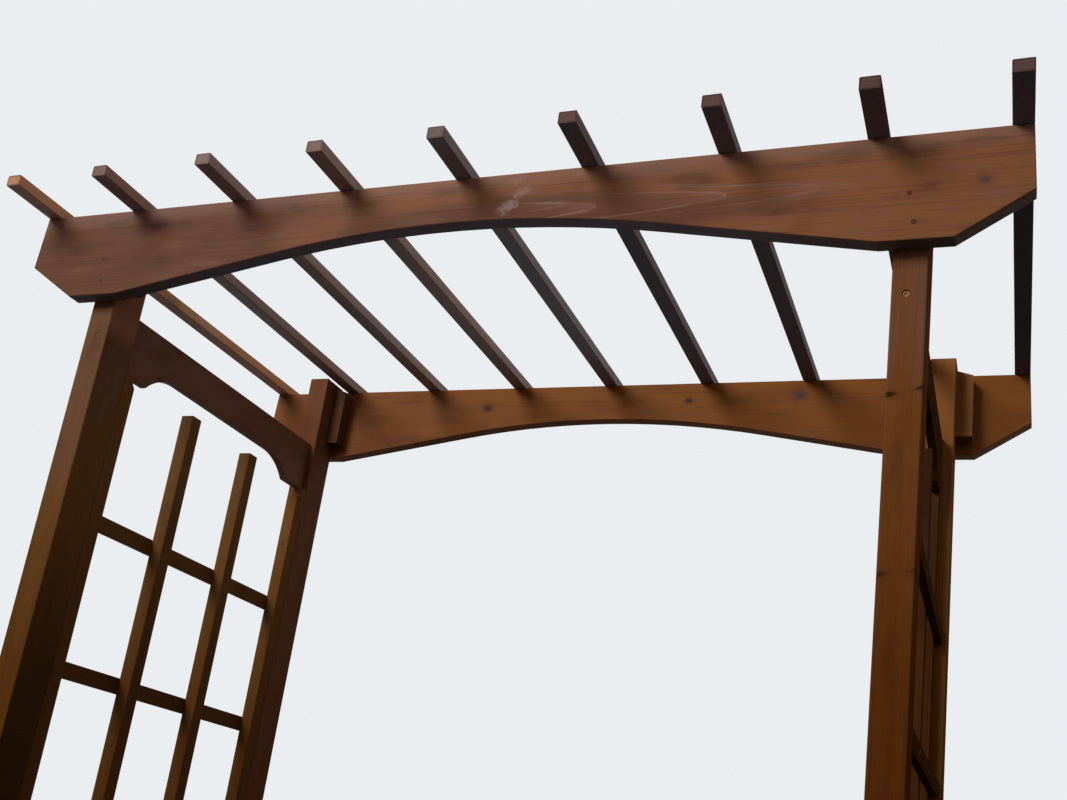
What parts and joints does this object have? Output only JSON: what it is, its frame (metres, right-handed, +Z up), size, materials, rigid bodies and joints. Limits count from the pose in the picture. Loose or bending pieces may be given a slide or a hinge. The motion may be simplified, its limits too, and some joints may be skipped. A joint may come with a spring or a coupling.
{
  "type": "garden pergola",
  "caption": "Free-standing softwood garden pergola: arched long beams on posts, flat rafters across the top and a ladder trellis under an arched beam at each side.",
  "frame": {"origin": "on the ground, in the middle of the pergola's plan", "axes": "+X along the long beams to the right, +Y from the front to the back along the rafters, +Z up"},
  "size_m": [2.51, 1.525, 2.43],
  "materials": {
    "beams": "red-brown stained softwood, satin",
    "posts": "red-brown stained softwood, satin",
    "rafters": "red-brown stained softwood, satin",
    "side_beams": "red-brown stained softwood, satin",
    "trellis": "red-brown stained softwood, satin",
    "cleats": "red-brown stained softwood, satin"
  },
  "bodies": {
    "root": {"beam_front": "beams", "post_front_left": "posts", "cleat_front_left": "cleats", "trellis_stile_front_left": "trellis", "post_front_right": "posts", "cleat_front_right": "cleats", "trellis_stile_front_right": "trellis", "beam_back": "beams", "post_back_left": "posts", "cleat_back_left": "cleats", "trellis_stile_back_left": "trellis", "post_back_right": "posts", "cleat_back_right": "cleats", "trellis_stile_back_right": "trellis", "side_beam_left": "side_beams", "trellis_slat_left_1": "trellis", "trellis_slat_left_2": "trellis", "trellis_rail_left_1": "trellis", "trellis_rail_left_2": "trellis", "trellis_rail_left_3": "trellis", "trellis_rail_left_4": "trellis", "side_beam_right": "side_beams", "trellis_slat_right_1": "trellis", "trellis_slat_right_2": "trellis", "trellis_rail_right_1": "trellis", "trellis_rail_right_2": "trellis", "trellis_rail_right_3": "trellis", "trellis_rail_right_4": "trellis", "rafter_1": "rafters", "rafter_2": "rafters", "rafter_3": "rafters", "rafter_4": "rafters", "rafter_5": "rafters", "rafter_6": "rafters", "rafter_7": "rafters", "rafter_8": "rafters", "rafter_9": "rafters"}
  },
  "joints": []
}
